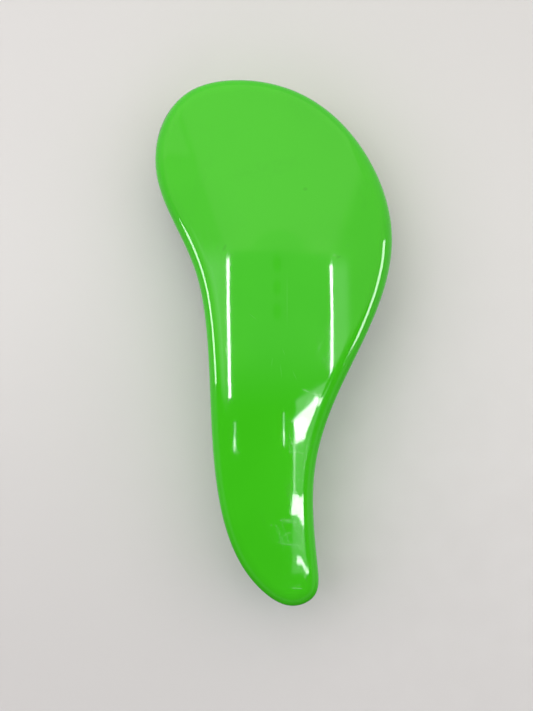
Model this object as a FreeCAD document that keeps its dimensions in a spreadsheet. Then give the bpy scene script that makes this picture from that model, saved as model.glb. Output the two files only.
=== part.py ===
"""Slicker brush: a hollow two-shell plastic body with a sprung pad of bent wire pins.

The brush lies pins down. +Z is up, +Y runs from the grip to the head, and the origin is on the
surface that the pin tips touch, at the centre of the brush's bounding box. Millimetres.

From the top down: back_shell, plate_screws, backing_plate, foam_cushion, the wire rows with their
crowns, canvas_ply, rubber_face, and pad_bezel, which snaps into front_shell and holds the pin bed.
"""

import FreeCAD
import Part
import math
import os

V = FreeCAD.Vector
UP = V(0, 0, 1)

doc = FreeCAD.newDocument("slicker_brush")

# ---------------------------------------------------------------- driving dimensions

DIMENSIONS = [
    ("brush_length", 186.0, "head to grip end"),
    ("rim_height", 11.5, "underside of the body above the pin tips"),
    ("parting_height", 18.5, "joint line between the two shells"),
    ("crown_height", 34.0, "highest point of the back"),
    ("crown_end", 45.0, "above everything: where the cutting solids stop"),
    ("crown_radius_long", 560.0, "arch of the back along the brush"),
    ("crown_radius_wide", 140.0, "arch of the back across the brush"),
    ("edge_round", 5.0, "rolled edge of the back"),
    ("under_round", 4.0, "rolled edge of the underside"),
    ("wall", 2.2, "shell wall"),
    ("lip_height", 1.6, "tongue of the back shell below the joint line"),
    ("lip_inset", 1.15, "tongue's outer face in from the outline"),
    ("lip_thick", 0.95, "tongue"),
    ("lip_gap", 0.1, "clearance round the tongue"),
    ("collar_thick", 1.8, "wall round the pad opening"),
    ("ledge_width", 3.0, "stop that the backing plate is pulled up against"),
    ("ledge_thick", 1.5, "stop"),
    ("plate_thick", 2.0, "backing plate"),
    ("plate_gap", 0.3, "clearance round the backing plate"),
    ("plate_bottom", 19.0, "underside of the backing plate"),
    ("bezel_flange_thick", 1.2, "visible ring"),
    ("bezel_outset", 2.6, "visible ring, out from the pad opening"),
    ("bezel_inset", 2.6, "visible ring, in from the pad opening"),
    ("bezel_round", 0.7, "rounded edges of the visible ring"),
    ("skirt_gap", 0.1, "clearance of the skirt in the opening"),
    ("skirt_thick", 1.0, "skirt of the bezel"),
    ("skirt_height", 6.0, "skirt above the flange"),
    ("bead_outset", 0.3, "snap bead proud of the opening"),
    ("bead_bottom", 15.2, "snap bead"),
    ("bead_height", 1.0, "snap bead"),
    ("bead_gap", 0.1, "clearance of the bead in its groove"),
    ("bed_inset", 1.45, "pin bed in from the opening"),
    ("bed_bottom", 11.55, "underside of the rubber"),
    ("rubber_thick", 1.6, "rubber facing"),
    ("canvas_thick", 1.2, "woven ply behind the rubber"),
    ("foam_gap", 0.05, "between the wire crowns and the foam"),
    ("foam_inset", 2.0, "foam in from the opening"),
    ("foam_round", 1.2, "softened edges of the foam"),
    ("wire_radius", 0.25, "pin wire"),
    ("wire_bite", 0.01, "how far the wire squeezes into its hole, on the radius"),
    ("leg_pitch", 2.8, "between pins along a row"),
    ("row_pitch", 3.0, "between rows"),
    ("pin_margin", 3.6, "pins in from the opening"),
    ("crown_bend", 0.5, "bend radius where a leg meets its crown"),
    ("knee_height", 6.2, "where the pins bend"),
    ("knee_bend", 1.2, "bend radius at the knee"),
    ("knee_angle", 22.0, "lean of the pin points towards the grip, degrees"),
    ("boss_radius", 3.3, "screw bosses of the back shell"),
    ("boss_bore", 1.1, "pilot hole"),
    ("bore_depth", 6.0, "pilot hole"),
    ("screw_shank", 1.3, "self-tapping thread, outside"),
    ("screw_root", 0.95, "self-tapping thread, root"),
    ("thread_pitch", 1.1, "self-tapping thread"),
    ("screw_length", 7.4, "from the flat of the head to the point"),
    ("screw_head", 2.4, "countersunk head"),
    ("screw_head_deep", 1.4, "countersunk head"),
    ("recess_wide", 0.7, "cross recess"),
    ("recess_deep", 0.9, "cross recess"),
    ("screw_hole", 1.5, "clearance hole in the plate"),
    ("rib_thick", 1.2, "stiffening ribs"),
    ("back_rib_length", 20.0, "back shell ribs, along the grip"),
    ("rib_drop", 8.0, "lower edge of the back shell's ribs, below the crown's top"),
    ("peg_radius", 1.7, "locating pegs in the grip"),
    ("peg_socket_gap", 0.05, "peg in its socket, on the radius"),
    ("peg_socket_wall", 1.5, "socket wall"),
    ("peg_depth", 4.0, "peg below the joint line"),
]

sheet = doc.addObject("Spreadsheet::Sheet", "Dimensions")
for line, (alias, value, note) in enumerate(DIMENSIONS, start=1):
    sheet.set(f"A{line}", alias)
    sheet.set(f"B{line}", str(value))
    sheet.set(f"C{line}", note)
    sheet.setAlias(f"B{line}", alias)
doc.recompute()


def size(alias):
    """A driving dimension, read from the sheet."""
    return float(sheet.get(alias))


# Outlines run anticlockwise seen from above, from the top of the head, and are drawn for a brush
# of OUTLINE_LENGTH. Each is a closed smooth curve through its points.
OUTLINE_LENGTH = 186.24
SETTLING_ROUNDS = 80
BODY_OUTLINE = [
    (-13.3, 93.1), (-31.4, 88.6), (-40.4, 76.0), (-41.6, 59.7), (-35.7, 43.4), (-27.7, 25.7),
    (-23.4, 2.7), (-22.0, -24.3), (-19.8, -51.3), (-12.8, -75.7), (-3.5, -88.1), (7.8, -93.1),
    (14.5, -89.6), (15.7, -79.3), (14.2, -63.3), (14.8, -42.3), (21.8, -19.5), (35.0, 8.2),
    (42.0, 36.7), (34.5, 63.8), (12.9, 86.3),
]
PAD_OUTLINE = [
    (-13.5, 83.7), (-26.6, 80.9), (-32.4, 72.2), (-32.4, 59.7), (-27.4, 46.2), (-20.2, 29.2),
    (-15.6, 11.7), (-8.5, -2.8), (4.5, -8.3), (17.5, -2.8), (27.2, 12.7), (33.0, 36.2),
    (26.6, 59.2), (8.6, 78.0),
]
BOSS_PLACES = [(-19.0, 62.0), (10.0, 62.0), (-10.5, 20.0), (20.0, 22.0)]
PEG_PLACES = [(-3.0, -38.0), (1.5, -70.0)]
BACK_RIB_PLACES = [(-3.0, -17.0), (-1.0, -54.0)]
FRONT_RIB_PLACES = [-24.0, -54.0]


def curve_through(points):
    """The closed curve through the points along which the bend changes without a jump."""
    knots = [0.0]
    for here, following in zip(points, points[1:] + points[:1]):
        knots.append(knots[-1] + here.distanceToPoint(following))
    curve = Part.BSplineCurve()
    poles = list(points)
    for _ in range(SETTLING_ROUNDS):
        curve.buildFromPolesMultsKnots(poles, [1] * len(knots), knots, True, 3)
        misses = [point - curve.value(knot) for point, knot in zip(points, knots)]
        poles = [pole + misses[i - 1] for i, pole in enumerate(poles)]
    return curve


def closed_curve(points, inset=0.0):
    """The closed curve through an outline's points, moved in by inset."""
    scale = size("brush_length") / OUTLINE_LENGTH
    places = [V(x * scale, y * scale, 0) for x, y in points]
    curve = curve_through(places)
    if not inset:
        return curve
    moved = []
    for place in places:
        along = curve.tangent(curve.parameter(place))[0]
        moved.append(place + UP.cross(along) * inset)
    return curve_through(moved)


# ---------------------------------------------------------------- small builders


def profile(name, points, inset, height):
    """A closed outline as a wire at a height, ready to extrude."""
    wire = Part.Wire([closed_curve(points, inset).toShape()])
    wire.translate(V(0, 0, height))
    made = doc.addObject("Part::Feature", name)
    made.Shape = wire
    return made


def prism(name, points, inset, bottom, height):
    """An upright solid on an outline. height is an expression in the sheet's aliases."""
    made = doc.addObject("Part::Extrusion", name)
    made.Base = profile(name + "_outline", points, inset, bottom)
    made.DirMode = "Custom"
    made.Dir = UP
    made.Solid = True
    made.setExpression("LengthFwd", height)
    return made


def cylinder(name, radius, height, place):
    made = doc.addObject("Part::Cylinder", name)
    made.setExpression("Radius", radius)
    made.setExpression("Height", height)
    made.Placement.Base = V(*place)
    return made


def boolean(kind, name, base, tool):
    made = doc.addObject("Part::" + kind, name)
    made.Base = base
    made.Tool = tool
    return made


def ring(name, points, outer, inner, bottom, height):
    """An upright wall that follows an outline, between two insets."""
    return boolean(
        "Cut",
        name,
        prism(name + "_outside", points, outer, bottom, height),
        prism(name + "_inside", points, inner, bottom, height),
    )


def union(name, shapes):
    made = doc.addObject("Part::MultiFuse", name)
    made.Shapes = shapes
    return made


def rounded(name, base, radius, wanted):
    """base with the edges that wanted picks rounded. radius is an alias or an expression value."""
    doc.recompute()
    made = doc.addObject("Part::Fillet", name)
    made.Base = base
    made.Edges = [
        (i, radius, radius) for i, e in enumerate(base.Shape.Edges, start=1) if wanted(e)
    ]
    return made


def at_height(height):
    """Picks the edges that lie flat at a height."""

    def wanted(edge):
        return edge.BoundBox.ZLength < 0.01 and abs(edge.Vertexes[0].Z - height) < 0.01

    return wanted


# ---------------------------------------------------------------- the two shells


def crown_solid(name, lowered):
    """The solid under the arched back: an arc across the brush, turned about an axis far below it."""
    top = size("crown_height") - lowered
    wide = size("crown_radius_wide") - lowered
    half = 0.4 * size("brush_length")
    foot = top - size("rim_height") - size("parting_height")
    shoulder = top - wide + math.sqrt(wide**2 - half**2)
    corners = [V(half, 0, shoulder), V(half, 0, foot), V(-half, 0, foot), V(-half, 0, shoulder)]
    edges = [Part.LineSegment(a, b).toShape() for a, b in zip(corners, corners[1:])]
    edges.append(Part.Arc(corners[3], V(0, 0, top), corners[0]).toShape())
    section = doc.addObject("Part::Feature", name + "_section")
    section.Shape = Part.Face(Part.Wire(edges))
    made = doc.addObject("Part::Revolution", name)
    made.Source = section
    made.Axis = V(1, 0, 0)
    made.Base = V(0, 0, size("crown_height") - size("crown_radius_long"))
    made.Angle = 26.0
    made.Symmetric = True
    made.Solid = True
    return made


def crowned(name, inset, radius):
    """The outline, moved in by inset and domed by the crown lowered as much, with its edge rolled."""
    parting = size("parting_height")
    rise = "Dimensions.crown_end - Dimensions.parting_height"
    block = boolean(
        "Common",
        name + "_block",
        prism(name + "_prism", BODY_OUTLINE, inset, parting, rise),
        crown_solid(name + "_crown", inset),
    )

    def on_rim(edge):
        return edge.Length > size("brush_length") and edge.BoundBox.ZMax > parting + 1

    return rounded(name, block, radius, on_rim)


def rib(name, wide, long, height, foot):
    """An upright wall. wide, long and height are expressions; foot is the middle of its underside."""
    made = doc.addObject("Part::Box", name)
    made.setExpression("Length", wide)
    made.setExpression("Width", long)
    made.setExpression("Height", height)
    doc.recompute()
    x, y, z = foot
    made.Placement.Base = V(x - made.Length.Value / 2, y - made.Width.Value / 2, z)
    return made


def make_back_shell():
    """The domed upper shell, with what stands in its cavity: screw bosses, pegs and two ribs."""
    parting = size("parting_height")
    plate_top = size("plate_bottom") + size("plate_thick")
    rib_bottom = size("crown_height") - size("rib_drop")
    boss_rise = "Dimensions.crown_end - Dimensions.plate_bottom - Dimensions.plate_thick"
    rise = "Dimensions.crown_end - Dimensions.parting_height"
    kept, pegs, bores = [], [], []
    for i, (x, y) in enumerate(BOSS_PLACES, start=1):
        foot = (x, y, plate_top)
        kept.append(cylinder(f"boss_{i}", "Dimensions.boss_radius", boss_rise, foot))
        bores.append(cylinder(f"bore_{i}", "Dimensions.boss_bore", "Dimensions.bore_depth", foot))
    for i, (x, y) in enumerate(PEG_PLACES, start=1):
        kept.append(cylinder(f"peg_root_{i}", "Dimensions.peg_radius", rise, (x, y, parting)))
        foot = (x, y, parting - size("peg_depth"))
        pegs.append(cylinder(f"peg_{i}", "Dimensions.peg_radius", "2 * Dimensions.peg_depth", foot))
    for i, (x, y) in enumerate(BACK_RIB_PLACES, start=1):
        foot = (x, y, rib_bottom)
        kept.append(
            rib(f"back_rib_{i}", "Dimensions.rib_thick", "Dimensions.back_rib_length", rise, foot)
        )
    cavity = boolean(
        "Cut",
        "back_cavity",
        crowned("back_inside", size("wall"), size("edge_round") - size("wall")),
        union("back_kept", kept),
    )
    shell = boolean("Cut", "back_walls", crowned("back_outside", 0.0, size("edge_round")), cavity)
    tongue = ring(
        "tongue",
        BODY_OUTLINE,
        size("lip_inset"),
        size("lip_inset") + size("lip_thick"),
        parting - size("lip_height"),
        "2 * Dimensions.lip_height",
    )
    whole = union("back_whole", [shell, tongue] + pegs)
    return boolean("Cut", "back_shell", whole, union("boss_bores", bores))


def make_front_shell():
    """The tray under the parting line, with the collar that the pin pad sits in."""
    rim, parting, wall = size("rim_height"), size("parting_height"), size("wall")
    plate_top = size("plate_bottom") + size("plate_thick")
    deep = "Dimensions.parting_height - Dimensions.rim_height"
    outside = rounded(
        "front_outside",
        prism("front_block", BODY_OUTLINE, 0.0, rim, deep),
        size("under_round"),
        at_height(rim),
    )
    inside = prism("front_hollow", BODY_OUTLINE, wall, rim + wall, deep)
    over = deep + " + 2 * Dimensions.wall"
    short = deep + " - Dimensions.lip_height"
    kept = [prism("collar_low", PAD_OUTLINE, -size("collar_thick"), rim, over)]
    socket_bore = "Dimensions.peg_radius + Dimensions.peg_socket_gap"
    sockets = []
    for i, (x, y) in enumerate(PEG_PLACES, start=1):
        around = socket_bore + " + Dimensions.peg_socket_wall"
        kept.append(cylinder(f"socket_{i}", around, short, (x, y, rim)))
        foot = (x, y, parting - size("peg_depth") - size("lip_gap"))
        sockets.append(
            cylinder(f"socket_hole_{i}", socket_bore, "Dimensions.peg_depth + 1", foot)
        )
    for i, y in enumerate(FRONT_RIB_PLACES, start=1):
        across = "Dimensions.brush_length / 2"
        kept.append(rib(f"front_rib_{i}", across, "Dimensions.rib_thick", short, (0, y, rim)))
    cavity = boolean("Cut", "front_cavity", inside, union("front_kept", kept))
    walls = boolean("Cut", "front_walls", outside, cavity)
    collar_top = prism(
        "collar_top",
        PAD_OUTLINE,
        -size("collar_thick"),
        parting - 1,
        "1 + Dimensions.plate_bottom + Dimensions.plate_thick + Dimensions.ledge_thick"
        " - Dimensions.parting_height",
    )
    opening = prism(
        "pad_opening",
        PAD_OUTLINE,
        0.0,
        rim - 1,
        "1 + Dimensions.plate_bottom + Dimensions.plate_thick - Dimensions.rim_height",
    )
    throat = prism(
        "ledge_opening", PAD_OUTLINE, size("ledge_width"), plate_top - 1, "2 + Dimensions.ledge_thick"
    )
    groove = prism(
        "bead_groove",
        PAD_OUTLINE,
        -size("bead_outset") - size("bead_gap"),
        size("bead_bottom") - size("bead_gap"),
        "Dimensions.bead_height + 2 * Dimensions.bead_gap",
    )
    rebate = ring(
        "tongue_rebate",
        BODY_OUTLINE,
        size("lip_inset") - size("lip_gap"),
        wall + size("lip_gap"),
        parting - size("lip_height") - size("lip_gap"),
        "2 * Dimensions.lip_height",
    )
    whole = union("front_whole", [walls, collar_top])
    cuts = union("front_cuts", [opening, throat, groove, rebate] + sockets)
    return boolean("Cut", "front_shell", whole, cuts)


# ---------------------------------------------------------------- what holds the pad


def make_pad_bezel():
    rim, thick = size("rim_height"), size("bezel_flange_thick")
    flange = rounded(
        "bezel_flange",
        ring(
            "bezel_flat",
            PAD_OUTLINE,
            -size("bezel_outset"),
            size("bezel_inset"),
            rim - thick,
            "Dimensions.bezel_flange_thick",
        ),
        size("bezel_round"),
        at_height(rim - thick),
    )
    gap = size("skirt_gap")
    skirt = ring(
        "bezel_skirt",
        PAD_OUTLINE,
        gap,
        gap + size("skirt_thick"),
        rim - thick / 2,
        "Dimensions.skirt_height + Dimensions.bezel_flange_thick / 2",
    )
    bead = ring(
        "bezel_bead",
        PAD_OUTLINE,
        -size("bead_outset"),
        gap + size("skirt_thick") / 2,
        size("bead_bottom"),
        "Dimensions.bead_height",
    )
    return union("pad_bezel", [flange, skirt, bead])


def flat_body(name, bottom, thick, inset):
    """A PartDesign body: the pad outline, moved in by inset, padded upwards from a height."""
    body = doc.addObject("PartDesign::Body", name)
    sketch = sketch_on(body, "XY_Plane", name + "_sketch", bottom)
    sketch.addGeometry(closed_curve(PAD_OUTLINE, inset), False)
    pad = body.newObject("PartDesign::Pad", name + "_pad")
    pad.Profile = sketch
    pad.setExpression("Length", thick)
    doc.recompute()
    return body, pad


def sketch_on(body, plane, name, height=0.0):
    """A sketch on one of the body's own origin planes, lifted along that plane's normal."""
    sketch = body.newObject("Sketcher::SketchObject", name)
    origin = next(o for o in body.Origin.OriginFeatures if o.Role == plane)
    sketch.AttachmentSupport = [(origin, "")]
    sketch.MapMode = "FlatFace"
    sketch.AttachmentOffset = FreeCAD.Placement(V(0, 0, height), FreeCAD.Rotation())
    return sketch


def make_backing_plate():
    body, _ = flat_body(
        "backing_plate", size("plate_bottom"), "Dimensions.plate_thick", size("plate_gap")
    )
    drawn = sketch_on(body, "XY_Plane", "plate_holes", size("plate_bottom"))
    for i, (x, y) in enumerate(BOSS_PLACES):
        drawn.addGeometry(Part.Circle(V(x, y, 0), UP, size("screw_hole")), False)
    holes = body.newObject("PartDesign::Pocket", "plate_screw_holes")
    holes.Profile = drawn
    holes.Type = "ThroughAll"
    holes.Reversed = True
    doc.recompute()
    sinks = body.newObject("PartDesign::Chamfer", "plate_countersinks")
    mouths = [
        f"Edge{i}"
        for i, e in enumerate(holes.Shape.Edges, start=1)
        if isinstance(e.Curve, Part.Circle) and abs(e.Curve.Center.z - size("plate_bottom")) < 0.01
    ]
    sinks.Base = (holes, mouths)
    sinks.setExpression("Size", "Dimensions.screw_head - Dimensions.screw_hole + 0.1")
    body.Tip = sinks
    return body


def make_screw():
    """One countersunk self-tapping screw, point up, with the flat of its head at the origin."""
    body = doc.addObject("PartDesign::Body", "screw_pattern")
    head, shank, root = size("screw_head"), size("screw_shank"), size("screw_root")
    pitch, length, deep = size("thread_pitch"), size("screw_length"), size("screw_head_deep")
    outline = [(0.0, 0.0), (head, 0.0), (root, deep)]
    height = deep + pitch / 2
    while height + pitch < length - 2 * root:
        outline += [(root, height), (shank, height + pitch / 3), (root, height + 2 * pitch / 3)]
        height += pitch
    outline += [(root, length - 1.5 * root), (0.0, length)]
    turned = sketch_on(body, "XZ_Plane", "screw_section")
    points = [V(x, y, 0) for x, y in outline]
    for a, b in zip(points, points[1:] + points[:1]):
        turned.addGeometry(Part.LineSegment(a, b), False)
    solid = body.newObject("PartDesign::Revolution", "screw_turned")
    solid.Profile = turned
    solid.ReferenceAxis = (turned, ["V_Axis"])
    doc.recompute()
    cross = sketch_on(body, "XY_Plane", "screw_cross")
    long, half = 0.7 * head, size("recess_wide") / 2
    corners = [(long, half), (half, half), (half, long)]
    quarter = corners + [(-x, y) for x, y in reversed(corners)]
    whole = quarter + [(-x, -y) for x, y in quarter]
    points = [V(x, y, 0) for x, y in whole]
    for a, b in zip(points, points[1:] + points[:1]):
        cross.addGeometry(Part.LineSegment(a, b), False)
    recess = body.newObject("PartDesign::Pocket", "screw_recess")
    recess.Profile = cross
    recess.setExpression("Length", "Dimensions.recess_deep")
    recess.Reversed = True
    body.Tip = recess
    return body


def placed_copies(node, pattern, places):
    """One node of separate identical solids."""
    doc.recompute()
    made = doc.addObject("Part::Feature", node)
    made.Shape = Part.makeCompound([pattern.Shape.translated(V(*p)) for p in places])
    return made


# ---------------------------------------------------------------- the pin bed


def bed_level(ply):
    """Underside of the rubber, of the canvas, or of the wire crowns that lie on the canvas."""
    rubber = size("bed_bottom")
    canvas = rubber + size("rubber_thick")
    return {"rubber": rubber, "canvas": canvas, "crowns": canvas + size("canvas_thick")}[ply]


def pin_rows():
    """For each row, from the grip end, the places of its two-legged wires, by their middles."""
    inside = Part.Face(Part.Wire([closed_curve(PAD_OUTLINE, size("pin_margin")).toShape()]))
    box, leg, pitch = inside.BoundBox, size("leg_pitch"), size("row_pitch")
    rows = []
    count = int((box.YMax - box.YMin) / pitch) + 1
    start = (box.YMax + box.YMin - (count - 1) * pitch) / 2
    across = int(box.XLength / leg) + 2
    for k in range(count):
        y = start + k * pitch
        shift = leg if k % 2 else 0.0
        row = []
        for j in range(-across, across + 1):
            x = 2 * leg * j + shift
            legs = [V(x - leg / 2, y, 0), V(x + leg / 2, y, 0)]
            if all(inside.isInside(p, 0.01, True) for p in legs):
                row.append((x, y))
        if row:
            rows.append(row)
    return rows


def make_wire():
    """One pin wire: two legs bent at the knee and joined by a crown, with the cut ends at z = 0."""
    r, half, lean = size("wire_radius"), size("leg_pitch") / 2, math.radians(size("knee_angle"))
    top, knee = bed_level("crowns") + r, size("knee_height")
    bend, turn = size("crown_bend"), size("knee_bend")
    reach = turn * math.tan(lean / 2)
    sag = bend * (1 - math.sqrt(0.5))

    def leg(side):
        """Its cut end, the knee's three points going up, and where the bend into the crown starts."""
        x = side * half
        corner = V(x, 0, knee)
        down = V(0, -math.sin(lean), -math.cos(lean))
        inwards = V(0, -math.cos(lean / 2), math.sin(lean / 2))
        point = corner + down * ((knee - r * math.sin(lean)) / math.cos(lean))
        middle = corner + inwards * (turn / math.cos(lean / 2) - turn)
        return point, corner + down * reach, middle, corner + UP * reach, V(x, 0, top - bend)

    left, right = leg(-1), leg(1)
    edges = [
        Part.LineSegment(left[0], left[1]).toShape(),
        Part.Arc(left[1], left[2], left[3]).toShape(),
        Part.LineSegment(left[3], left[4]).toShape(),
        Part.Arc(left[4], V(sag - half, 0, top - sag), V(bend - half, 0, top)).toShape(),
        Part.LineSegment(V(bend - half, 0, top), V(half - bend, 0, top)).toShape(),
        Part.Arc(V(half - bend, 0, top), V(half - sag, 0, top - sag), right[4]).toShape(),
        Part.LineSegment(right[4], right[3]).toShape(),
        Part.Arc(right[3], right[2], right[1]).toShape(),
        Part.LineSegment(right[1], right[0]).toShape(),
    ]
    path = Part.Wire(edges)
    start = left[0]
    section = Part.Wire([Part.Circle(start, left[1] - start, r).toShape()])
    made = doc.addObject("Part::Feature", "wire_pattern")
    made.Shape = path.makePipeShell([section], True, False)
    return made


def make_bed_ply(name, ply, thick, holes):
    """One layer of the pin bed, pierced for the legs."""
    body, _ = flat_body(name + "_blank", bed_level(ply), thick, size("bed_inset"))
    return boolean("Cut", name, body, holes)


def make_leg_holes(rows):
    """The pierced holes of every leg, through both plies, as one tool."""
    radius = size("wire_radius") - size("wire_bite")
    deep = size("rubber_thick") + size("canvas_thick") + 2
    half = size("leg_pitch") / 2
    holes = [
        Part.makeCylinder(radius, deep, V(x + side * half, y, bed_level("rubber") - 1))
        for row in rows
        for x, y in row
        for side in (-1, 1)
    ]
    made = doc.addObject("Part::Feature", "leg_holes")
    made.Shape = Part.makeCompound(holes)
    return made


def make_foam():
    crowns_top = bed_level("crowns") + 2 * size("wire_radius")
    bottom = crowns_top + size("foam_gap")
    thick = (
        "Dimensions.plate_bottom - Dimensions.bed_bottom - Dimensions.rubber_thick"
        " - Dimensions.canvas_thick - 2 * Dimensions.wire_radius - Dimensions.foam_gap"
    )
    body, pad = flat_body("foam_cushion", bottom, thick, size("foam_inset"))
    soft = body.newObject("PartDesign::Fillet", "foam_edges")
    faces = [f"Face{i}" for i, f in enumerate(pad.Shape.Faces, start=1) if f.normalAt(0, 0).z < -0.9]
    soft.Base = (pad, faces)
    soft.setExpression("Radius", "Dimensions.foam_round")
    body.Tip = soft
    return body


# ---------------------------------------------------------------- assembly and export


def build():
    """Every sub-part, by node name."""
    plate_screw_height = size("plate_bottom")
    screw_places = [(x, y, plate_screw_height) for x, y in BOSS_PLACES]
    rows = pin_rows()
    holes = make_leg_holes(rows)
    nodes = {
        "back_shell": make_back_shell(),
        "front_shell": make_front_shell(),
        "pad_bezel": make_pad_bezel(),
        "backing_plate": make_backing_plate(),
        "plate_screws": placed_copies("plate_screws", make_screw(), screw_places),
        "foam_cushion": make_foam(),
        "canvas_ply": make_bed_ply("canvas_ply", "canvas", "Dimensions.canvas_thick", holes),
        "rubber_face": make_bed_ply("rubber_face", "rubber", "Dimensions.rubber_thick", holes),
    }
    wire = make_wire()
    for i, row in enumerate(rows, start=1):
        node = f"wire_row_{i:02d}"
        nodes[node] = placed_copies(node, wire, [(x, y, 0) for x, y in row])
    return nodes


def check_and_export(nodes):
    doc.recompute()
    for made in doc.Objects:
        if "Invalid" in made.State or "Error" in made.State:
            raise RuntimeError(f"{made.Name} failed: {made.State}")
    os.makedirs("parts", exist_ok=True)
    for node, made in nodes.items():
        made.Label = node
        if made.Shape.isNull() or not made.Shape.isValid() or not made.Shape.Solids:
            raise RuntimeError(f"{node} has no valid solid")
        made.Shape.exportStep(f"parts/{node}.step")


def main():
    check_and_export(build())


if __name__ == "__main__":
    main()
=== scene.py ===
"""The looks of the slicker brush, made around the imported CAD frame. Metres, pins down, head towards +Y."""

import math

import bpy
import numpy as np
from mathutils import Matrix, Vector
from mathutils.geometry import delaunay_2d_cdt


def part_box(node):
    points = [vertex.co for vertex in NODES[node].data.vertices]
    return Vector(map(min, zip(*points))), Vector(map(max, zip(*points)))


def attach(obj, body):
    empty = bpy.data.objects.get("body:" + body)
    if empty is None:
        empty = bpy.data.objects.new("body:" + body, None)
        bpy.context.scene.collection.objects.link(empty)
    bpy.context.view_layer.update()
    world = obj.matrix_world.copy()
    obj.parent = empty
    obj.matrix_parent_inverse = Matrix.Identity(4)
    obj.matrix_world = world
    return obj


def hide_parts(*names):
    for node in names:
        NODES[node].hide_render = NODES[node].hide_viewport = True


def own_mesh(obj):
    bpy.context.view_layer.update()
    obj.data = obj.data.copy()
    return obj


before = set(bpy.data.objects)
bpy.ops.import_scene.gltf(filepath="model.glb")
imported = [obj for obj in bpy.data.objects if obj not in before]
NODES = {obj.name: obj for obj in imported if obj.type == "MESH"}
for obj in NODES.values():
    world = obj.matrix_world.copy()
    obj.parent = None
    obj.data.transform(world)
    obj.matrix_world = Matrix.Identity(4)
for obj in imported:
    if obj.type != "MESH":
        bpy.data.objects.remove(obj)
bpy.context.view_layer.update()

MM = 0.001

# ------------------------ sizes that the frame gives

SHELL_LOW, SHELL_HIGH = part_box("back_shell")
LENGTH = SHELL_HIGH.y - SHELL_LOW.y
RUBBER_LOW, RUBBER_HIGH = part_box("rubber_face")
CANVAS_LOW, CANVAS_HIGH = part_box("canvas_ply")
FOAM_LOW, FOAM_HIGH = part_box("foam_cushion")

# ------------------------ sizes of the shells, as in the CAD

PARTING = 18.5 * MM
WALL = 2.2 * MM
WALL_MIDDLE = WALL / 2
CROWN_LONG = 560 * MM
CROWN_WIDE = 140 * MM
CROWN_TOP = 34.0 * MM
EDGE_WIDE = 5.6 * MM
EDGE_DEEP = 5.2 * MM
EDGE_POWER = 2.25
INNER_EDGE = 3.0 * MM
ROUND_POWER = 2.0
SEAM_ROUND = 0.22 * MM
TONGUE_OUT = 1.15 * MM
TONGUE_IN = 2.1 * MM
TONGUE_DEEP = 1.6 * MM
PLATE_TOP = 21.0 * MM
BOSS = 3.3 * MM
BOSS_BORE = 1.1 * MM
BORE_DEEP = 6.0 * MM
PEG = 1.7 * MM
PEG_FOOT = 14.5 * MM
BOSS_PLACES = [(-19.0, 62.0), (10.0, 62.0), (-10.5, 20.0), (20.0, 22.0)]
PEG_PLACES = [(-3.0, -38.0), (1.5, -70.0)]
RIB_PLACES = [(-3.0, -17.0), (-1.0, -54.0)]
RIB_LONG = 20.0 * MM
RIB_THICK = 1.2 * MM
RIB_BOTTOM = 26.0 * MM

# Outlines in millimetres, anticlockwise from above, from the top of the head.
BODY_OUTLINE = [
    (-13.3, 93.1), (-31.4, 88.6), (-40.4, 76.0), (-41.6, 59.7), (-35.7, 43.4), (-27.7, 25.7),
    (-23.4, 2.7), (-22.0, -24.3), (-19.8, -51.3), (-12.8, -75.7), (-3.5, -88.1), (7.8, -93.1),
    (14.5, -89.6), (15.7, -79.3), (14.2, -63.3), (14.8, -42.3), (21.8, -19.5), (35.0, 8.2),
    (42.0, 36.7), (34.5, 63.8), (12.9, 86.3),
]
PAD_OUTLINE = [
    (-13.5, 83.7), (-26.6, 80.9), (-32.4, 72.2), (-32.4, 59.7), (-27.4, 46.2), (-20.2, 29.2),
    (-15.6, 11.7), (-8.5, -2.8), (4.5, -8.3), (17.5, -2.8), (27.2, 12.7), (33.0, 36.2),
    (26.6, 59.2), (8.6, 78.0),
]

# How long the smooth curve through BODY_OUTLINE is, in millimetres.
OUTLINE_LONG = 186.24
OUTLINE_TO_METRES = LENGTH / OUTLINE_LONG

# How far the plies and the foam lie inside the curve through PAD_OUTLINE.
BED_INSET = 1.45 * MM
FOAM_INSET = 2.0 * MM

# ------------------------ how finely the meshes are made

SPAN_STEPS = 160
SPINE_STEPS = 400
COVER_HALF = 400
COVER_RINGS = 44
COVER_EDGE_STEPS = 26
COVER_WALL_SHARES = (0.3, 0.6, 0.85)
SEAM_STEPS = 5
HOLLOW_RINGS = 16
HOLLOW_EDGE_STEPS = 8
PLY_HALF = 170
FOAM_HALF = 260
FOAM_RINGS = 40
FOAM_SIDE_STEPS = 11
WIRE_SIDES = 10
WIRE_BEND_STEPS = 4
POST_SIDES = 32
RUBBER_HOLE_SIDES = 12
CANVAS_HOLE_SIDES = 8

# Rings lie this share further apart than evenly at an outline's edge, and closer at its middle line.
RING_EASE = 0.25

# The share of an outline's middle line that is left out at each end.
HEAD_TRIM = 0.12
GRIP_TRIM = 0.03
PAD_TRIM = 0.12


# ------------------------ smooth closed outlines


def bends_of(points, gaps):
    """Second derivatives at the points of the smooth closed curve through them."""
    n = len(points)
    system = np.zeros((n, n))
    right = np.zeros((n, 2))
    for i in range(n):
        before, after, following = gaps[i - 1], gaps[i], (i + 1) % n
        system[i, i - 1] = before
        system[i, i] = 2 * (before + after)
        system[i, following] = after
        slope_after = (points[following] - points[i]) / after
        slope_before = (points[i] - points[i - 1]) / before
        right[i] = 6 * (slope_after - slope_before)
    return np.linalg.solve(system, right)


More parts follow.
